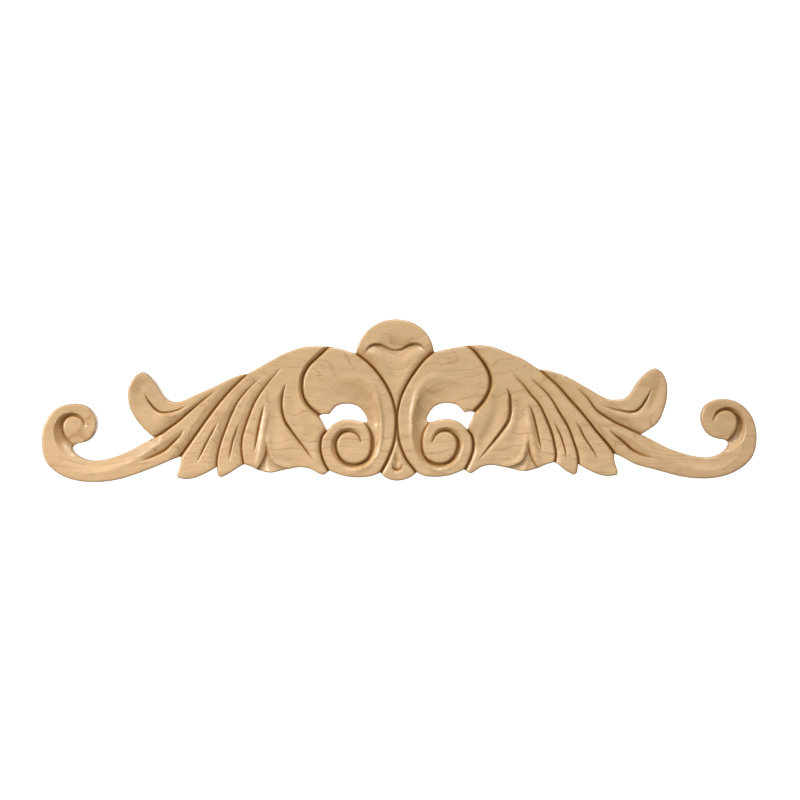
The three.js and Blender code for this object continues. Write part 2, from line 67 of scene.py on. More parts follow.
def line(*points, step=GROOVE_STEP):
    """A smooth line through points, set out as points a step apart. Between two neighbours it
    is the cubic whose end slopes come from the points on either side of them, where the time
    between points is the square root of their distance."""
    p = np.array(points, float)
    p = np.vstack([2 * p[0] - p[1], p, 2 * p[-1] - p[-2]])
    time = np.sqrt(np.linalg.norm(np.diff(p, axis=0), axis=1))[:, None]
    p0, p1, p2, p3 = p[:-3], p[1:-2], p[2:-1], p[3:]
    t0, t1, t2 = time[:-2], time[1:-1], time[2:]
    start = ((p1 - p0) / t0 - (p2 - p0) / (t0 + t1) + (p2 - p1) / t1) * t1
    end = ((p2 - p1) / t1 - (p3 - p1) / (t1 + t2) + (p3 - p2) / t2) * t1
    s = np.linspace(0, 1, CURVE_STEPS, endpoint=False)[:, None, None]
    square, cube = -3 * p1 + 3 * p2 - 2 * start - end, 2 * p1 - 2 * p2 + start + end
    curve = p1 + start * s + square * s**2 + cube * s**3
    curve = np.vstack([curve.transpose(1, 0, 2).reshape(-1, 2), p[-2]])
    return evenly(curve, step)


def evenly(curve, step):
    """The same line of points, set out again at even steps along its length."""
    along = np.r_[0, np.cumsum(np.linalg.norm(np.diff(curve, axis=0), axis=1))]
    stops = np.linspace(0, along[-1], max(3, round(along[-1] / step)) + 1)
    return np.stack([np.interp(stops, along, curve[:, i]) for i in (0, 1)], 1)


def arc(up, radius, first, last):
    """Seven points on a circle round a centre on the middle line, between two angles in
    degrees from straight right."""
    a = np.radians(np.linspace(first, last, 7))
    points = np.stack([radius * np.cos(a), up + radius * np.sin(a)], 1)
    return line(*points.round(9), step=RIM_STEP)


def edge(*points):
    """One stretch of a sawn edge: the smooth line through its points, at the step of the rim."""
    return line(*points, step=RIM_STEP)


outline = [
    arc(-24.6, 13.4, -90, -38.5),
    edge((10.5, -32.95), (16, -35), (25, -35.8), (34, -34.6), (42.5, -31.5)),
    edge((42.5, -31.5), (46.5, -34), (50, -32.7), (54.5, -30.3), (61, -29.2), (70.5, -30.7),
         (80, -32.5), (88, -30.7)),
    edge((88, -30.7), (91.5, -28.7), (96.5, -27)),
    edge((96.5, -27), (100.5, -29.2), (106.5, -33), (110.8, -35.2)),
    edge((110.8, -35.2), (112.7, -34.2), (113.6, -31.5), (113.9, -28.5)),
    edge((113.9, -28.5), (119, -31.6), (127, -35.2), (133, -36.2), (138.3, -35.3)),
    edge((138.3, -35.3), (138.8, -33), (137.6, -29), (136.7, -25), (137, -22)),
    edge((137, -22), (143, -24.2), (152, -28), (164.5, -32.8), (176.5, -36.3), (187, -37.8),
         (199, -37.6), (209.5, -35), (217.5, -30.3), (222.8, -24), (224.9, -15), (224.2, -5),
         (221.5, 2), (217, 7.2), (211.5, 10.4), (205, 11.7), (199, 10.8), (194, 8), (191, 3.5),
         (190.3, -1), (191.5, -5.5), (194, -9.5), (198, -12.4), (204.5, -14)),
    edge((204.5, -14), (206.6, -15.2), (206.9, -17.2), (204.8, -20.4), (200, -23.4),
         (194, -24.7), (188, -24.3), (180, -22.4), (170, -18.6), (160, -13.3), (153.5, -10)),
    edge((153.5, -10), (156.5, -7.5), (161.5, -2.8), (166, 3), (169, 9), (170, 15.5),
         (169.7, 20.5), (168, 25), (165, 29), (160.8, 31.5)),
    edge((160.8, 31.5), (157.8, 30.2), (154, 26.5), (151, 22.5), (148.5, 18), (146, 14.7),
         (143, 12.8), (137, 12.7), (129, 16), (116.5, 21.3), (103, 27.6), (98, 29.2),
         (94.5, 29.5)),
    edge((94.5, 29.5), (90.5, 31.7), (84, 35.3), (76, 39.7), (68, 43.4), (60, 45.9),
         (52, 46.8), (42, 46.5)),
    edge((42, 46.5), (35, 44.9), (25.4, 42)),
    arc(37.7, 25.77, 9.6, 90),
]
opening = [
    edge((49.5, 3), (46.5, 4), (43, 4)),
    edge((43, 4), (39.2, 8.4), (35.5, 10), (31.5, 10.5), (27.5, 10), (23.8, 8.2), (20.4, 4),
         (19, 0.7), (19.3, -1), (21, -1.5)),
    edge((21, -1.5), (27.5, 0), (31.5, 0.4), (35.5, 0), (40, -2), (44.6, -6.5)),
    edge((44.6, -6.5), (46.2, -3), (49.5, 3)),
]
# The outline begins and ends on the middle line.
outside = np.vstack([part[:-1] for part in outline] + [outline[-1][-1:]])
outside[[0, -1], 0] = 0
inside = np.vstack([part[:-1] for part in opening])
rims = [outside, np.vstack([inside, inside[:1]])]


def enclosed(places, loops):
    """Which places lie inside closed loops of points: a line drawn to the right from the place
    crosses the loops an odd number of times."""
    start = np.vstack(loops)
    end = np.vstack([np.roll(loop, -1, axis=0) for loop in loops])
    odd = np.zeros(len(places), bool)
    for first in range(0, len(places), BATCH):
        x, z = places[first:first + BATCH].T[:, :, None]
        spans = (start[:, 1] > z) != (end[:, 1] > z)
        rise = np.where(end[:, 1] == start[:, 1], 1, end[:, 1] - start[:, 1])
        left = x < start[:, 0] + (z - start[:, 1]) / rise * (end[:, 0] - start[:, 0])
        odd[first:first + BATCH] = (spans & left).sum(1) % 2 == 1
    return odd


def on_wood(places):
    """Which places of the drawing lie within the outline and outside the opening."""
    return enclosed(places, [outside, inside])


# The carving, all cut into the front of that board with chisels, gouges and a V tool. A groove
# parts every two forms: it has one steep side, cut straight down along the form in front, and
# a slow side, which runs up the form behind. Here is how deep each kind of groove goes.

SCROLL, FAN, FEATHER, VEIN, STEM = 4.4, 4.6, 3.2, 2, 3.6
VOLUTE, COVE, CHANNEL, LOBE, GAP = 5.2, 2.2, 1.6, 3, 2.4
LEFT, RIGHT = 1, -1

# Each row is a groove's line, the hand its steep side is on, its depths and how far its slow
# side reaches, both at even steps along it, how much of its slow side is the keen narrow cut of
# the V tool, and how the rest goes: above nought it is dished out with a gouge up to an arris,
# below it rolls up soft.
grooves = [
    # Between the stem with its leaf and the fan of feathers.
    (line((91, 32.5), (94.5, 29.5), (104.5, 20.2), (112.5, 11.5), (120.5, 1.5), (127, -7.5),
          (137, -22), (139.5, -25.5)), RIGHT, np.multiply(FAN, [0.55, 0.7, 0.8, 0.9, 1]),
     [4, 5, 5, 5], 0.5, -0.4),
    # Between the first and the second feather, and between the second and the third.
    (line((86, 26.8), (91, 23), (96.5, 17.5), (100.8, 12), (104.5, 5), (108.3, -4),
          (112, -14.5), (113.8, -23.5), (114, -31.5)), RIGHT,
     np.multiply(FEATHER, [0, 0.55, 0.9, 1, 1, 1]), [2, 4, 5, 5], 0.5, -0.4),
    (line((72.5, 33.5), (78, 28), (84, 21), (89.5, 13), (93.2, 4.5), (96.5, -5), (98.1, -12),
          (98.2, -18.5), (96.3, -30)), RIGHT, np.multiply(FEATHER, [0, 0.55, 0.9, 1, 1, 1]),
     [2, 4, 5, 5], 0.5, -0.4),
    # The veins of the three feathers.
    (line((84, 10.5), (86, 3.5), (87.7, -5), (89, -13), (90.2, -20.5)), RIGHT,
     np.multiply(VEIN, [0, 1, 1.2, 1, 0]), [2, 4, 4], 0.7, -0.8),
    (line((99.5, -0.5), (101.7, -6.3), (103.7, -12), (105, -18), (106, -25.5)), RIGHT,
     np.multiply(VEIN, [0, 0.8, 1, 0.8, 0]), [1.5, 3, 3], 0.7, -0.8),
    (line((113, 0), (116.8, -6.3), (120.7, -13.5), (123.7, -20), (126.5, -26.5)), RIGHT,
     np.multiply(VEIN, [0, 0.8, 1, 0.8, 0]), [1.5, 3, 3], 0.7, -0.8),
    # The leaf under the stem, and the upright leaf above it.
    (line((134.5, -5), (137.5, -9), (143.5, -15), (147.5, -18.5), (153.5, -21.5),
          (162, -25)), RIGHT, np.multiply(STEM, [0, 0.8, 1, 0.7, 0]), [2, 5, 4], 0.4, -0.4),
    (line((156, -11.5), (153.5, -10), (147.5, -6.5), (143.5, -3.5), (139, -0.3), (131, 6.5),
          (123, 13), (114, 19.5)), LEFT, np.multiply(STEM, [0.7, 1, 0.9, 0.8, 0.5, 0]),
     [4, 5, 4, 2], 0.5, -0.8),
    # The fold inside the upright leaf.
    (line((159.5, 18.5), (158, 14.7), (156, 11.7), (152.5, 7.8), (149, 6), (145, 6),
          (139, 7.3), (131, 11)), RIGHT, np.multiply(VEIN, [0, 1.2, 1.3, 0.8, 0.5, 0]),
     [2, 4, 3, 2], 0.6, -0.8),
    # The vein of the big leaf beside the scroll.
    (line((70, 23.5), (72, 19), (73.2, 13), (73, 6.5), (71, 0), (67, -6), (59.5, -15.5),
          (54.5, -22.5), (52, -26.5)), RIGHT,
     np.multiply(VEIN, [0, 1.5, 1.9, 1.8, 1.4, 0.9, 0]), [1.5, 3, 3, 2.5, 2], 0.6, 0.3),
    # Round the outside of the scroll, above its opening and below it.
    (line((38.5, 49), (42, 46.5), (46, 43), (50.5, 39), (54.5, 35.5), (57.5, 31.5),
          (59.5, 27), (60.2, 20.5), (59, 14.5), (56, 9.7), (49.3, 4), (46, 1.5)), RIGHT,
     np.multiply(SCROLL, [0.7, 0.9, 1, 1, 1, 0.9]), [2.2, 2.4, 2.4, 2.4], 0.4, 0.3),
    (line((43.5, -4.5), (45, -6.8), (47.2, -10), (48.2, -15), (47.8, -20.5), (46, -26),
          (43, -31.5), (41.5, -34)), RIGHT, np.multiply(SCROLL, [0.8, 0.9, 0.9, 0.8]),
     [3, 3.5, 3], 0.6, -0.4),
    # Down the middle, where the two scrolls meet the lobe, each other and the drop.
    (line((28, 44.5), (25, 42), (20.5, 38.7), (16.5, 35.2), (12.5, 30.8), (8.5, 25.3),
          (5.3, 19.7), (3, 14.5), (1.5, 9), (0.6, 4), (0.5, -2.5), (1.1, -10), (2.2, -15.5),
          (4.2, -21), (6.7, -26.5), (10.4, -33), (12, -35.5)), LEFT,
     np.multiply(SCROLL, [0.8, 0.9, 0.8, 0.7, 0.8, 0.9]), [5, 4, 3, 3, 3], 0.6, -0.8),
    # The spiral round the eye of the scroll.
    (line((20.8, -1), (18.6, -4.5), (16.7, -8.5), (16, -13), (16.3, -19), (18.5, -24),
          (23, -27), (27.7, -27.7), (32.2, -26.6), (36, -23.3), (38.4, -18), (38.6, -14),
          (37.3, -10.5), (34.5, -7.7), (31.5, -6.9), (28, -7.3), (25, -9.5), (23, -13.3)),
     LEFT, np.multiply(SCROLL, [0.65, 0.95, 1, 1, 1, 0.9, 0.3]),
     [11, 7.5, 5.8, 3.9, 2.8, 2.8, 2.8, 2.8, 2.5, 2.2, 1.2], 0.25, 0.8),
    # The cove that runs round the top of the opening.
    (line((45.5, 3), (43, 4), (39.2, 8.4), (31.5, 10.5), (23.8, 8.2), (20.4, 4), (19, 0.7),
          (18.4, -4), (16.7, -8.5), (16, -13)), LEFT,
     np.multiply(COVE, [0, 0.1, 0.35, 0.75, 1.1, 1.3, 1.15, 0.9]),
     [4, 6.5, 13.5, 14.4, 13, 10.5, 9, 9, 7, 6], 0, 1.2),
    # The upper edge of the hollow in the lobe.
    (line((19.2, 41.5), (18.3, 44.5), (16.5, 46.4), (13.5, 47.5), (10, 47.4), (7, 46.3),
          (4, 44.7), (0, 43.7)), RIGHT, np.multiply(LOBE, [0, 0.7, 1, 0.8, 0.4]),
     [5, 7, 8, 8], 0.15, -0.3),
    # The open cove round the eye of the volute at the end.
    (line((198, -2), (199.3, 1.3), (202, 3.5), (205.2, 4.2), (208.7, 3.3), (211.3, 0.8),
          (212.6, -2.5), (212.4, -6), (210.8, -9.8), (207.5, -13.2), (205, -15.5)), RIGHT,
     np.multiply(VOLUTE, [0.15, 0.6, 0.8, 1, 0.9, 0.6]), [1, 1.5, 2.1, 3.4, 5.2, 7, 8], 0.1, 1),
    # The shallow channel along the inner side of the stem, up to its crest.
    (line((205, -15.5), (206.9, -17.2), (204.8, -20.4), (200, -23.4), (194, -24.7),
          (188, -24.3), (180, -22.4), (170, -18.6), (160, -13.3), (153.5, -10)), RIGHT,
     np.multiply(CHANNEL, [0.3, 0.9, 1, 1, 1, 0.9, 0.6]), [8, 8.5, 7.5, 7, 7, 6.5, 5], 0, 1),
    # The gap between the third feather and the big leaf, where a lower leaf shows.
    (line((82.6, -13), (82.3, -17), (82.8, -21), (84.8, -26), (89, -32.5)), LEFT,
     np.multiply(GAP, [0, 0.9, 1, 0.9]), [0.5, 3, 7, 9], 0.1, 0.9),
    (line((82.5, -15), (81.6, -20), (79.8, -24.5), (76.5, -27.8), (71, -29.8), (66, -30.3)),
     RIGHT, np.multiply(GAP, [0, 0.9, 0.8, 0.5, 0]), [0.5, 2.5, 5, 6, 6], 0, 0.9),
    # The stop cut at the foot of the drop.
    (line((3.1, -27), (2.8, -29), (1.8, -30.8), (0, -31.4)), LEFT,
     np.multiply(VEIN, [0, 0.4, 0.8, 0.8]), [1, 1.8, 2.2, 2.2], 0.5, -0.5),
]

# The modelling between the grooves: rounded crests along the scrolls and folds, full feathers,
# and hollows in the leaves, the lobe and the drop, all scraped and sanded smooth. Each row is a
# line, its heights along the way, below nought for a hollow, and its reach to both sides.

SCROLL_CREST, FOLD_CREST, VEIN_CREST, FEATHER_SWELL, LEAF_ROLL = 1, 0.7, 1, 0.3, 0.8
LEAF_HOLLOW, CURL_HOLLOW, LOBE_HOLLOW, DROP_GOUGE = -1.0, -0.9, -1.3, -2.2

banks = [
    # The crest of the scroll, from over the opening down and round its foot.
    (line((31, 26.5), (24, 26.5), (17.5, 23.5), (13.7, 17.6), (11.2, 9.3), (10, 0), (10.5, -9.7),
          (12.3, -17), (15, -23), (20.5, -29.3), (28, -32)),
     np.multiply(SCROLL_CREST, [0, 0.5, 1, 1, 1, 0.6, 0.3]), [5, 4, 3, 3, 3, 3.5]),
    # The ridge beside the vein of the third feather.
    (line((82.3, 11), (83.6, 0), (84.9, -10), (86, -19), (88, -28)),
     np.multiply(VEIN_CREST, [0, 0.8, 1, 0.9, 0.3]), [2.5, 3, 3]),
    # The edge of the big leaf curls up beside the gap, and the leaf is hollow on both
    # sides of its vein.
    (line((81.5, -6), (81, -13), (80, -19.5), (77.5, -24.5), (73.5, -27.8), (68, -29.3)),
     np.multiply(LEAF_ROLL, [0, 0.8, 1, 1, 0.5]), [2.5, 3, 3.5]),
    (line((77, 14), (77.5, 4), (76.5, -6), (73, -17)),
     np.multiply(LEAF_HOLLOW, [0, 1, 1, 0]), [5, 6, 6]),
    (line((65, 20), (66, 9), (62, -2), (55.5, -12), (51.5, -22)),
     np.multiply(LEAF_HOLLOW, [0, 0.8, 1, 1, 0]), [5, 6, 5]),
    # The feathers are a little full between their grooves.
    (line((97, 21), (108, 6), (116, -8), (122, -22)),
     np.multiply(FEATHER_SWELL, [0, 1, 1, 0]), [6, 7, 7]),
    # The upright leaf: a hollow up its middle and a ridge under its fold.
    (line((160, 27), (163, 18), (160.5, 9), (154, 2)),
     np.multiply(CURL_HOLLOW, [0, 1, 1, 0]), [5, 6, 6]),
    (line((154, -2), (147, 2.5), (139, 4.7), (130, 9.5), (121, 16)),
     np.multiply(FOLD_CREST, [0, 0.8, 1, 0.7, 0]), [5, 4, 3]),
    # The lobe, hollow like a heart under its rim, and the gouge cut in the drop.
    (line((0, 42), (0, 32), (0, 18)), np.multiply(LOBE_HOLLOW, [1, 0.9, 0]), [16, 10, 4]),
    (line((0, -16), (0, -21), (0, -26), (0, -30)),
     np.multiply(DROP_GOUGE, [0, 0.4, 1, 0.9]), [1.5, 2.8, 3.6]),
]

# The surface of the face. The board is fullest at the middle and thinner at the two ends, and
# the grooves and hollows are taken out of it. Its edges roll off towards the sawn sides and
# are broken by hand with sandpaper.

MIDDLE_THICKNESS, END_THICKNESS = 15.0, 10.5
EDGE_FALL, EDGE_WIDTH = 0.2, 2.4
SANDED, SANDED_WIDTH = 0.6, 0.9
# A steep side, the keen cut and the line of painted shade at the bottom of a groove: how wide
# each of them is, and how much wider for every millimetre of depth.
STEEP_WIDTH, STEEP_LEAN = 0.4, 0.13
KEEN_WIDTH, KEEN_LEAN = 0.5, 0.2
DARK_WIDTH, DARK_LEAN, DARK_DEPTH = 0.4, 0.2, 1.5
# How far an arris is rounded to both sides, as a share of its steep side's width, and a reach
# that takes in the widest steep side.
ARRIS, WIDEST_STEEP = 0.7, 2.2


def against(path, places, reach):
    """Where places lie against a line of points, for those within reach of it: which places,
    how far off, on which hand and at what share of the way along, from the nearest point of
    the nearest of the line's straight bits."""
    near = np.flatnonzero(np.all((places > path.min(0) - reach)
                                 & (places < path.max(0) + reach), axis=1))
    start, run = path[:-1], np.diff(path, axis=0)
    found = []
    for part in np.array_split(near, len(near) // BATCH + 1):
        gap = places[part, None] - start
        t = np.clip((gap * run).sum(2) / (run**2).sum(1), 0, 1)
        off = np.hypot(gap[..., 0] - t * run[:, 0], gap[..., 1] - t * run[:, 1])
        best = off.argmin(1)
        pick = np.arange(len(part)), best
        turn = run[best, 0] * gap[pick][:, 1] - run[best, 1] * gap[pick][:, 0]
        found.append(np.stack([off[pick], np.where(turn > 0, 1, -1),
                               (best + t[pick]) / len(start)]))
    off, hand, share = np.hstack(found)
    close = off < reach
    return near[close], off[close], hand[close], share[close]


def blend(values, share):
    """A value at a share of the way along, from values given at even steps."""
    return np.interp(share, np.linspace(0, 1, len(values)), values)


def face_height(places):
    """Height of the face above the back, how near each place is to the bottom of a groove, and
    how deep it is cut. The height is the plain thickness, plus each bank as a squared cosine
    across its line, less the deepest groove there, less the fall of the edge. A groove is
    straight on its steep side, with its arris rounded by a parabola. On its slow side, at a
    share u of its reach, it is part straight, as narrow as the V tool leaves it, and part
    (1 - u) times (1 + dish times u)."""
    quarter = math.pi / 2
    height = (END_THICKNESS + (MIDDLE_THICKNESS - END_THICKNESS)
              * np.cos(quarter * np.minimum(1, places[:, 0] / HALF_LENGTH))**2)
    for path, high, wide in banks:
        at, off, _, share = against(path, places, max(wide))
        bell = np.cos(quarter * np.minimum(1, off / blend(wide, share)))**2
        height[at] += blend(high, share) * bell
    cut, bottom = np.zeros(len(places)), np.zeros(len(places))
    for path, steep, deep, slope, keen, dish in grooves:
        at, off, hand, share = against(path, places, max(max(slope), WIDEST_STEEP))
        depth = blend(deep, share)
        u = 1 - off / (STEEP_WIDTH + STEEP_LEAN * depth)
        sharp = np.where(u > ARRIS, u, np.clip(u + ARRIS, 0, None)**2 / (4 * ARRIS))
        narrow = np.clip(1 - off / (KEEN_WIDTH + KEEN_LEAN * depth), 0, None)
        u = np.minimum(1, off / blend(slope, share))
        slow = keen * narrow + (1 - keen) * (1 - u) * (1 + dish * u)
        cut[at] = np.maximum(cut[at], depth * np.where(hand == steep, sharp, slow))
        # The line of painted shade along the bottom of a groove, where it has a V cut.
        dark = (np.clip(1 - off / (DARK_WIDTH + DARK_LEAN * depth), 0, 1)
                * np.clip(depth / DARK_DEPTH, 0, 1))
        bottom[at] = np.maximum(bottom[at], dark * (keen > 0))
    height -= cut
    for rim in rims:
        at, off, _, _ = against(rim, places, EDGE_WIDTH)
        fall = np.zeros(len(places))
        fall[at] = (EDGE_FALL * (1 - off / EDGE_WIDTH)**2
                    + SANDED * np.clip(1 - off / SANDED_WIDTH, 0, None)**2)
        height -= fall
    return height, bottom, cut


# The points of the face: rows along every sawn edge and every groove, and an even field over
# the open wood between them. They are close where the carving is sharp.

# How far the rows lie from the bottom of a groove, up its steep side or, below nought, up its
# slow side, and how far they lie inside a sawn edge.
GROOVE_ROWS = (0, 0.75, 1.05, 1.35, 0.4, -0.4, -0.85, -1.3, -1.8, 1.9, -2.4)
RIM_ROWS = (0.35, 0.75, 1.3)
# The step between points, how far a point stays clear of those before it, and how far it stays
# off the middle line.
ROW_STEP, ROW_CLEAR, ROW_OFF_MIDDLE = 0.55, 0.28, 0.25
FIELD_STEP, FIELD_CLEAR, FIELD_OFF_MIDDLE = 0.72, 0.5, 0.35
FIELD_FOOT, FIELD_TOP, TRIANGLE_HEIGHT = -38, 64, 0.866
# The middle line is parted into this many bits. A row stops where its groove is shallower than
# this, or where another sawn edge is nearer than this share of the row's own distance.
MIDDLE_BITS, SHALLOWEST, TOO_NEAR = 130, 0.12, 0.9
# The grid that holds the kept points: the size of a cell, how many there are across and up, and
# how far its corner is from the middle line and below the drawing's nought. An empty cell holds
# a point that is far away.
CELL, CELLS, GRID_CORNER, FAR_AWAY = 0.2, (1160, 560), (2, 42), 1e4
cells = np.full((*CELLS, 2), FAR_AWAY)
kept = []


def cell_of(places):
    """Which cell of the grid each place is in: the whole number of cells from its corner."""
    return ((places + GRID_CORNER) / CELL).astype(int).T


def keep(places, clear):
    """Keeps the places that are further than clear from all kept before. A place looks at the
    points in the cells round it."""
    i, j = cell_of(places)
    reach = math.ceil(clear / CELL)
    free = np.ones(len(places), bool)
    for across in range(-reach, reach + 1):
        for up in range(-reach, reach + 1):
            free &= np.linalg.norm(cells[i + across, j + up] - places, axis=1) > clear
    cells[i[free], j[free]] = places[free]
    kept.append(places[free])


def beside(path, off, step):
    """A row of points to the left of a line: each point of the line moved by one distance,
    square to the way that the line runs there."""
    along = np.gradient(path, axis=0)
    along /= np.linalg.norm(along, axis=1)[:, None]
    return evenly(path + np.stack([-along[:, 1], along[:, 0]], 1) * off, step)


# The sawn edges and the middle line come first, then the rows, then the field.
middle = np.linspace(outside[-1, 1], outside[0, 1], MIDDLE_BITS + 1)[1:-1]
for loop in (outside, np.stack([0 * middle, middle], 1), inside):
    kept.append(loop)
    i, j = cell_of(loop)
    cells[i, j] = loop
fixed = sum(len(part) for part in kept)

for across in GROOVE_ROWS:
    for path, steep, deep, *_ in grooves:
        row = beside(path, across * steep, ROW_STEP)
        depth = blend(deep, np.linspace(0, 1, len(row)))
        row = row[(depth > SHALLOWEST) & (row[:, 0] > ROW_OFF_MIDDLE)]
        keep(row[on_wood(row)], ROW_CLEAR)
for inward in RIM_ROWS:
    for path, side in [(part, 1) for part in outline] + [(part, -1) for part in opening]:
        row = beside(path, inward * side, RIM_STEP)
        row = row[row[:, 0] > ROW_OFF_MIDDLE]
        row = row[on_wood(row)]
        for rim in rims:
            row = np.delete(row, against(rim, row, TOO_NEAR * inward)[0], axis=0)
        keep(row, ROW_CLEAR)
across, up = np.meshgrid(np.arange(0, HALF_LENGTH + 1, FIELD_STEP),
                         np.arange(FIELD_FOOT, FIELD_TOP, FIELD_STEP * TRIANGLE_HEIGHT))
across[::2] += FIELD_STEP / 2
field = np.stack([across.ravel(), up.ravel()], 1)
field = field[field[:, 0] > FIELD_OFF_MIDDLE]
keep(field[on_wood(field)], FIELD_CLEAR)
corners = np.vstack(kept)

# The two halves. The left one is the drawing turned over, a little narrower, and on the right
# one the carver's hand has wandered by up to 6 mm. Over both runs the faint waviness that
# sanding leaves.

# Each row is a place on the drawing, how far the work there moved outwards and upwards, and how
# wide the move is.
left_wanders = [
    (28, -5, -0.7, 0, 16), (75, 20, -1.2, 0.3, 30), (120, -5, -0.8, -0.2, 25),
    (165, 10, -0.8, 0, 25), (200, -20, -1.2, 0.3, 25), (212, -12, -0.7, 0, 18),
]
right_wanders = [
    # The lobe and the scroll.
    (24, 42, -1.5, 0.5, 12), (45, 44, 3.2, 0, 10), (57, 13, -2, 1.5, 13), (50, 2, 0.5, 1, 6),
    # The feathers start lower and lie nearer the middle.
    (71, 10, -1.5, -0.3, 8), (74, 28, -0.5, -5, 12), (80, 38, 0, 2.3, 9), (86, 17, -1.5, -1, 8),
    (96, 27, -4.3, 2, 10), (112, 27, -0.7, 2.3, 9), (106, 10, -2.2, -1.7, 14),
    (118, -12, -1.3, -0.6, 8),
    # The upright leaf, the stem and the volute.
    (128, 9, -2, -1.9, 8), (135, 1, -1.5, -2.5, 12), (150, 7, 0.4, -1.5, 9),
    (151, -27, -1, -1.3, 10), (161, 29, 2, 0, 10), (163, -3, 2, -0.5, 8), (208, 1, 1, 1, 8),
    (212, -12, 1.8, 0, 18), (188, -29, 1.4, -0.3, 16),
    # Along the foot.
    (82, -20, 0.8, -0.5, 12), (97, -25, 2.3, 0, 8), (55, -31, -1, 0.7, 10),
    # Small ones on the volute, the upright leaf, the drop and the scroll.
    (192, 1, 0.9, 0.4, 8), (141, 12, 0, 0.8, 8), (10.5, -33, 1.8, 0, 7),
    (28, -15, -0.5, -0.2, 14),
]
SANDING = 0.035
SAME_PLACE = 1e-6


def wandered(places, wanders):
    """The places as they lie on one half: each one moves by every wander, times the bell curve
    of its distance from the middle of that wander."""
    moved = places.copy()
    for across, up, out, rise, wide in wanders:
        bell = np.exp(-((places - (across, up))**2).sum(1) / wide**2)
        moved += bell[:, None] * (out, rise)
    return moved


def waviness(x, z):
    """Sanding marks: a sum of three slow sine waves that cross each other."""
    return SANDING * (np.sin(0.71 * x + 0.23 * z) + np.sin(0.37 * x - 0.53 * z + 1)
                      + np.sin(0.11 * x + 0.83 * z + 2))


def triangles_between(places, loops):
    """Triangles between places. The sides of the closed loops stay as they are, and apart from
    that the circle round each triangle holds no other place."""
    sides = np.vstack([np.stack([loop, np.roll(loop, -1)], 1) for loop in loops])
    return np.array(delaunay_2d_cdt(places.tolist(), sides.tolist(), [], 0, SAME_PLACE, False)[2])


def turned(triangles, places, way):
    """The triangles, turned round where the cross product of two sides hasn't the sign asked
    for: 1 runs anticlockwise on the drawing, -1 clockwise."""
    first, second, third = places[triangles].transpose(1, 0, 2)
    wrong = way * np.cross(second - first, third - first) < 0
    triangles[wrong] = triangles[wrong][:, ::-1]
    return triangles


edge_loop = np.arange(len(outside) + len(middle))
inner_loop = np.arange(len(edge_loop), fixed)
facets = triangles_between(corners, [edge_loop, inner_loop])
facets = turned(facets[on_wood(corners[facets].mean(1))], corners, 1)

# The left half takes all the points, and the right half shares those on the middle line.
shared = corners[:, 0] == 0
left_side = np.arange(len(corners))
right_side = np.where(shared, left_side, len(corners) + np.cumsum(~shared) - 1)
left_places = wandered(corners, left_wanders) * (-1, 1)
left_places[shared] = corners[shared]
flat = np.vstack([left_places, wandered(corners, right_wanders)[~shared]])
height, bottom, cut = (np.r_[value, value[~shared]] for value in face_height(corners))
height += waviness(flat[:, 0], flat[:, 1])
face = np.vstack([right_side[facets], left_side[facets][:, ::-1]])

# The sides and the back. The sides are sawn square to the back, and the back is planed flat,
# to lie against the furniture. A row of points a little under the arris keeps it crisp.

UNDER_ARRIS = 0.6
CREASE = math.radians(50)


def wood_on_left(loop, sign):
    """The loop, turned round if its signed area hasn't the sign asked for. Twice that area is
    the sum of the cross products of its neighbouring points."""
    x, z = flat[loop].T
    area = (x * np.roll(z, -1) - np.roll(x, -1) * z).sum()
    return loop if area * sign > 0 else loop[::-1]


# Three closed edges: round the whole piece, and round the opening on either side.
rim = np.arange(len(outside))
loops = [wood_on_left(np.r_[right_side[rim], left_side[rim[1:-1]][::-1]], 1),
         wood_on_left(left_side[inner_loop], -1), wood_on_left(right_side[inner_loop], -1)]
wall = []
points = [np.stack([flat[:, 0], -height, flat[:, 1]], 1)]
back_of = np.zeros(len(flat), int)
start = len(flat)
for loop in loops:
    n = len(loop)
    under = np.stack([flat[loop, 0], UNDER_ARRIS - height[loop], flat[loop, 1]], 1)
    behind = np.stack([flat[loop, 0], 0 * loop, flat[loop, 1]], 1)
    points += [under, behind]
    rows = [loop, np.arange(start, start + n), np.arange(start + n, start + 2 * n)]
    for top, low in zip(rows, rows[1:]):
        wall.append(np.stack([np.roll(top, -1), top, low, np.roll(low, -1)], 1))
    back_of[loop] = rows[2]
    start += 2 * n
wall = np.vstack(wall)

# The back is laid out between the same closed edges.
around = np.concatenate(loops)
starts = np.cumsum([len(loop) for loop in loops])[:-1]
back = triangles_between(flat[around], np.split(np.arange(len(around)), starts))
back = back[enclosed(flat[around][back].mean(1), [flat[loop] for loop in loops])]
back = back_of[around][turned(back, flat[around], -1)]

# In metres, and nowhere beyond the box of the plain part.
points = np.clip(np.vstack(points) / 1000, board_low, board_high)
mesh = bpy.data.meshes.new("carving")
mesh.from_pydata(points, [], face.tolist() + wall.tolist() + back.tolist())
mesh.shade_smooth()
mesh.set_sharp_from_angle(angle=CREASE)
# Two masks for painted shade, kept at each point: near the bottom of a groove, and how deep it is
# cut.
for name, value in (("groove_bottom", bottom), ("cut_depth", cut)):
    mark = mesh.attributes.new(name, "FLOAT", "POINT")
    mark.data.foreach_set("value", np.r_[value, np.zeros(len(points) - len(value))])
carving = bpy.data.objects.new("carving", mesh)
bpy.context.collection.objects.link(carving)
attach(carving, "root")
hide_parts("applique")
print("carving:", len(face) + 2 * len(wall) + len(back), "triangles")
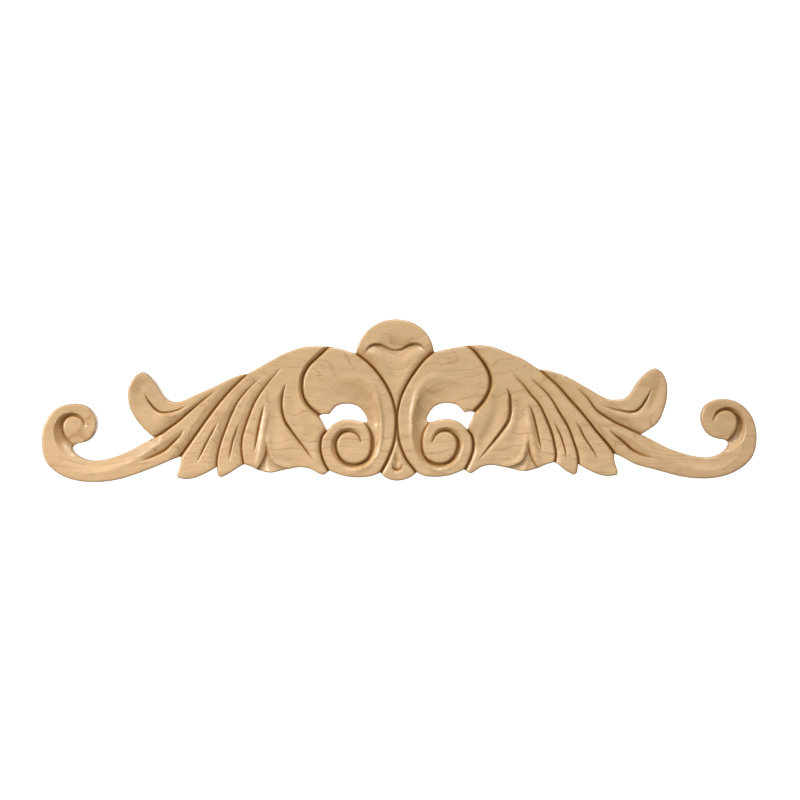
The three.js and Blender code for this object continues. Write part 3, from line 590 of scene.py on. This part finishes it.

# The wood: plain unfinished maple, cut on the flat. Its growth rings lie nearly flat in the lobe
# and steeper towards the foot, so they show as slow curved lines at the top and close straight
# ones below. It is browner in the upper parts and at the left leaf's tip. The cuts, the bottoms
# of the grooves and the right end are painted darker: painted shade.

PALE_WOOD, HONEY_WOOD = (0.70, 0.44, 0.202, 1), (0.63, 0.385, 0.168, 1)
STREAK, MOTTLE = (0.55, 0.335, 0.155, 1), (0.50, 0.315, 0.135, 1)
BROWN_TOP, BROWN_TIP = (0.50, 0.305, 0.115, 1), (0.42, 0.25, 0.10, 1)
RING_LINE, FLECK, FIBRE = (0.42, 0.18, 0.04, 1), (0.22, 0.10, 0.04, 1), (0.47, 0.28, 0.13, 1)
# Painted shade: the darker browns laid over deep cuts and along the bottoms of the grooves.
CUT_SHADE, GROOVE_SHADE = (0.42, 0.235, 0.08, 1), (0.42, 0.21, 0.055, 1)
# Painted shade for the right end, which the light reaches less.
END_SHADE = (0.45, 0.25, 0.09, 1)
# How far apart the rings are, and how far behind the back and how high the heart of the tree
# lay. The rings bend slowly along the length, and turn round softly where they dip.
RING, HEART_BEHIND, HEART_UP = 2.1, 150.0, 85.0
RING_BEND, DIP_ROUNDING = 10.0, 1200.0

maple = bpy.data.materials.new("maple")
maple.use_nodes = True
nodes, links = maple.node_tree.nodes, maple.node_tree.links
shader = nodes["Principled BSDF"]
place = nodes.new("ShaderNodeTexCoord").outputs["Object"]


def socket(value, into):
    """Gives a socket of a node its value: a number, a colour or what another node puts out."""
    if isinstance(value, (int, float, tuple)):
        into.default_value = value
    else:
        links.new(value, into)


def reckon(kind, a, b=0.0):
    """One sum with two values, of the kind asked for."""
    node = nodes.new("ShaderNodeMath")
    node.operation = kind
    socket(a, node.inputs[0])
    socket(b, node.inputs[1])
    return node.outputs[0]


def stretched(x, y, z, shift=(0, 0, 0)):
    """The place in the wood, measured in lengths of x, y and z millimetres."""
    node = nodes.new("ShaderNodeMapping")
    links.new(place, node.inputs["Vector"])
    node.inputs["Location"].default_value = shift
    node.inputs["Scale"].default_value = (1000 / x, 1000 / y, 1000 / z)
    return node.outputs[0]


def cloud(where, detail=2.0, rough=0.5):
    """Smooth random patches from nought to one, about one length apart."""
    node = nodes.new("ShaderNodeTexNoise")
    links.new(where, node.inputs["Vector"])
    node.inputs["Scale"].default_value = 1.0
    node.inputs["Detail"].default_value = detail
    node.inputs["Roughness"].default_value = rough
    return node.outputs["Fac"]


def spread(value, low, high, first=0.0, last=1.0):
    """Takes the span from low to high to the span from first to last, and stops there."""
    node = nodes.new("ShaderNodeMapRange")
    socket(value, node.inputs["Value"])
    for name, number in zip(("From Min", "From Max", "To Min", "To Max"),
                            (low, high, first, last)):
        node.inputs[name].default_value = number
    return node.outputs[0]


def tinted(colour, tint, share):
    """The colour with the tint laid over it, by a share."""
    node = nodes.new("ShaderNodeMix")
    node.data_type = "RGBA"
    socket(share, node.inputs["Factor"])
    socket(colour, node.inputs[6])
    socket(tint, node.inputs[7])
    return node.outputs[2]


def painted_shade_mask(name):
    """The value of this name stored at each point of the carving: here always a mask for painted
    shade.
    """
    node = nodes.new("ShaderNodeAttribute")
    node.attribute_name = name
    return node.outputs["Fac"]


split = nodes.new("ShaderNodeSeparateXYZ")
links.new(place, split.inputs[0])
across, behind, up = (reckon("MULTIPLY", split.outputs[axis], 1000.0) for axis in "XYZ")

# The rings are counted by the distance from the heart. They bend slowly, ripple finely, and dip
# in the upper part towards the middle of the length.
off_heart_behind = reckon("SUBTRACT", behind, HEART_BEHIND)
off_heart_up = reckon("SUBTRACT", up, HEART_UP)
radius = reckon("SQRT", reckon("ADD", reckon("MULTIPLY", off_heart_behind, off_heart_behind),
                               reckon("MULTIPLY", off_heart_up, off_heart_up)))
bend = reckon("MULTIPLY", cloud(stretched(60, 25, 25), 1.0), RING_BEND)
ripple = reckon("MULTIPLY", cloud(stretched(11, 6, 7), 2.0), spread(up, -10, 25, 0.8, 2.0))
off_middle = reckon("SQRT", reckon("ADD", reckon("MULTIPLY", across, across), DIP_ROUNDING))
dip = reckon("MULTIPLY", off_middle, spread(up, -20, 30, 0.0, 0.12))
wander = reckon("ADD", dip, reckon("ADD", bend, ripple))
ring = reckon("DIVIDE", reckon("ADD", radius, wander), RING)

# Each ring ends in a thin brown line. Some rings have a stronger one than others, and along its
# way a line comes and goes.
phase = reckon("FRACT", ring)
ring_number = nodes.new("ShaderNodeTexWhiteNoise")
ring_number.noise_dimensions = "1D"
links.new(reckon("FLOOR", ring), ring_number.inputs["W"])
line_strength = reckon("MULTIPLY", spread(ring_number.outputs["Value"], 0.2, 0.9, 0.25, 1.0),
                       spread(cloud(stretched(24, 9, 9, (3, 1, 2))), 0.41, 0.57, 0.3, 1.0))
late = reckon("MULTIPLY", spread(phase, 0.72, 0.93), spread(phase, 0.94, 0.98, 1.0, 0.0))
late = reckon("MULTIPLY", late, line_strength)

# Along the grain lie fine fibres, longer streaks, wide patches, a mottle and a few dark flecks.
fibres = cloud(stretched(5, 0.35, 0.35), 3.0, 0.6)
streaks = cloud(stretched(30, 1.1, 1.1, (5, 0, 0)), 2.0)
patches = cloud(stretched(40, 18, 18, (0, 4, 1)), 2.0)
flecks = spread(cloud(stretched(6, 1, 0.6, (1, 7, 2)), 1.0), 0.69, 0.74)
mottle = cloud(stretched(14, 6, 6, (2, 5, 3)), 3.0)
leaf_tip = reckon("MULTIPLY", spread(across, -135, -160), spread(up, 0, 25, 0.0, 0.5))

wood = tinted(PALE_WOOD, HONEY_WOOD, spread(patches, 0.35, 0.7))
wood = tinted(wood, STREAK, spread(streaks, 0.5, 0.75, 0.0, 0.4))
wood = tinted(wood, MOTTLE, spread(mottle, 0.5, 0.72, 0.0, 0.4))
wood = tinted(wood, BROWN_TOP, spread(up, -15, 30, 0.0, 0.55))
wood = tinted(wood, BROWN_TIP, leaf_tip)
wood = tinted(wood, RING_LINE, reckon("MULTIPLY", late, 0.85))
wood = tinted(wood, FLECK, reckon("MULTIPLY", flecks, 0.7))
wood = tinted(wood, FIBRE, spread(fibres, 0.5, 0.8, 0.0, 0.3))
# Painted shade: the deeper a place is cut, the darker it is painted.
wood = tinted(wood, CUT_SHADE, spread(painted_shade_mask("cut_depth"), 1.6, 4.8, 0.0, 0.8))
# Painted shade: a dark line along the bottom of each groove.
wood = tinted(wood, GROOVE_SHADE, spread(painted_shade_mask("groove_bottom"), 0.0, 0.6, 0.0, 0.9))
# Painted shade: the right end is painted darker, where the light falls off.
wood = tinted(wood, END_SHADE, spread(across, 140, 210, 0.0, 0.45))
links.new(wood, shader.inputs["Base Color"])
links.new(spread(fibres, 0.3, 0.7, 0.36, 0.46), shader.inputs["Roughness"])
shader.inputs["Specular IOR Level"].default_value = 1.0
shader.inputs["IOR"].default_value = 1.6
grain = nodes.new("ShaderNodeBump")
grain.inputs["Strength"].default_value = 0.25
grain.inputs["Distance"].default_value = 0.00006
links.new(reckon("SUBTRACT", fibres, reckon("MULTIPLY", late, 0.15)), grain.inputs["Height"])
links.new(grain.outputs["Normal"], shader.inputs["Normal"])
mesh.materials.append(maple)

# The place for the picture: a round tent of white paper, floor and wall in one sweep, wide enough
# to hold the camera. It stands well away from the piece and is lit by itself, so that no shadow
# falls on it.

TENT_RADIUS, FLOOR, WALL_HEIGHT, SWEEP_RADIUS, HUB_RADIUS = 4.0, -0.5, 4.0, 0.6, 0.01
SWEEP_POINTS, TURNS = 13, 72
bend_angle = np.linspace(0, math.pi / 2, SWEEP_POINTS)
profile = np.vstack([[HUB_RADIUS, FLOOR],
                     np.stack([TENT_RADIUS - SWEEP_RADIUS * (1 - np.sin(bend_angle)),
                               FLOOR + SWEEP_RADIUS * (1 - np.cos(bend_angle))], 1),
                     [TENT_RADIUS, FLOOR + WALL_HEIGHT]])
round_angle = np.linspace(0, 2 * math.pi, TURNS + 1)[:-1, None]
tent_points = np.stack([profile[:, 0] * np.cos(round_angle), profile[:, 0] * np.sin(round_angle),
                        profile[:, 1] + 0 * round_angle], 2).reshape(-1, 3)
n = len(profile)
here = (np.arange(TURNS)[:, None] * n + np.arange(n - 1)).ravel()
beyond = (here + n) % (n * TURNS)
hub = np.arange(TURNS)[::-1] * n
tent_mesh = bpy.data.meshes.new("paper_tent")
tent_mesh.from_pydata(tent_points, [], [
    *np.stack([here, beyond, beyond + 1, here + 1], 1).tolist(), hub.tolist()])
tent_mesh.shade_smooth()
tent = bpy.data.objects.new("paper_tent", tent_mesh)
bpy.context.collection.objects.link(tent)
paper = bpy.data.materials.new("white_paper")
paper.use_nodes = True
paper_shader = paper.node_tree.nodes["Principled BSDF"]
paper_shader.inputs["Base Color"].default_value = (0.8, 0.8, 0.8, 1)
paper_shader.inputs["Roughness"].default_value = 0.9
paper_shader.inputs["Emission Color"].default_value = (1, 1, 1, 1)
paper_shader.inputs["Emission Strength"].default_value = 0.9
tent_mesh.materials.append(paper)
tent.visible_diffuse = tent.visible_glossy = tent.visible_shadow = False
tent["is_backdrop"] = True

# The light: a key lamp on the left, which rakes across the carving, a soft one above, a wide
# weak one in front, one behind for the back, and the pale walls of the room.


def lamp(name, at, aim, size, power):
    """A square lamp of this size in metres and power in watts, turned from its place to its
    aim."""
    light = bpy.data.lights.new(name, "AREA")
    light.shape, light.size, light.energy = "SQUARE", size, power
    holder = bpy.data.objects.new(name, light)
    holder.location = at
    holder.rotation_mode = "QUATERNION"
    holder.rotation_quaternion = (Vector(aim) - Vector(at)).to_track_quat("-Z", "Y")
    bpy.context.collection.objects.link(holder)


lamp("key", (-1.45, -1.0, 0.5), (0, 0, 0), 0.45, 24)
lamp("top", (0.15, -0.9, 1.5), (0, 0, 0), 0.6, 15)
lamp("front", (0.2, -1.7, 0.4), (0, 0, 0), 1.4, 5)
lamp("behind", (0.5, 1.8, 0.3), (0, 0, 0), 1.2, 8)
room = bpy.data.worlds.new("pale_room")
room.use_nodes = True
room.node_tree.nodes["Background"].inputs["Color"].default_value = (1, 1, 1, 1)
room.node_tree.nodes["Background"].inputs["Strength"].default_value = 0.31
bpy.context.scene.world = room
bpy.context.scene.view_settings.view_transform = "Standard"

# The camera stands 1.8 m away and looks at the piece from the front, from a little to the right
# and above, and it is turned by less than half a degree.

yaw, pitch, roll = math.radians(1.1), math.radians(0.7), math.radians(-0.44)
distance, pixels_per_metre, frame_width, sensor = 1.8, 1580.0, 800, 36
aim = Vector((0.0020, 0, 0.0125))
ahead = Vector((-math.sin(yaw) * math.cos(pitch), math.cos(yaw) * math.cos(pitch),
                -math.sin(pitch)))
level = Vector((math.cos(yaw), math.sin(yaw), 0))
upright = level.cross(ahead)
right = level * math.cos(roll) + upright * math.sin(roll)
top = upright * math.cos(roll) - level * math.sin(roll)
camera_data = bpy.data.cameras.new("camera")
camera_data.sensor_width = sensor
camera_data.lens = sensor * pixels_per_metre * distance / frame_width
camera = bpy.data.objects.new("camera", camera_data)
turn = Matrix((right, top, -ahead)).transposed().to_4x4()
camera.matrix_world = Matrix.Translation(aim - ahead * distance) @ turn
bpy.context.collection.objects.link(camera)
bpy.context.scene.camera = camera
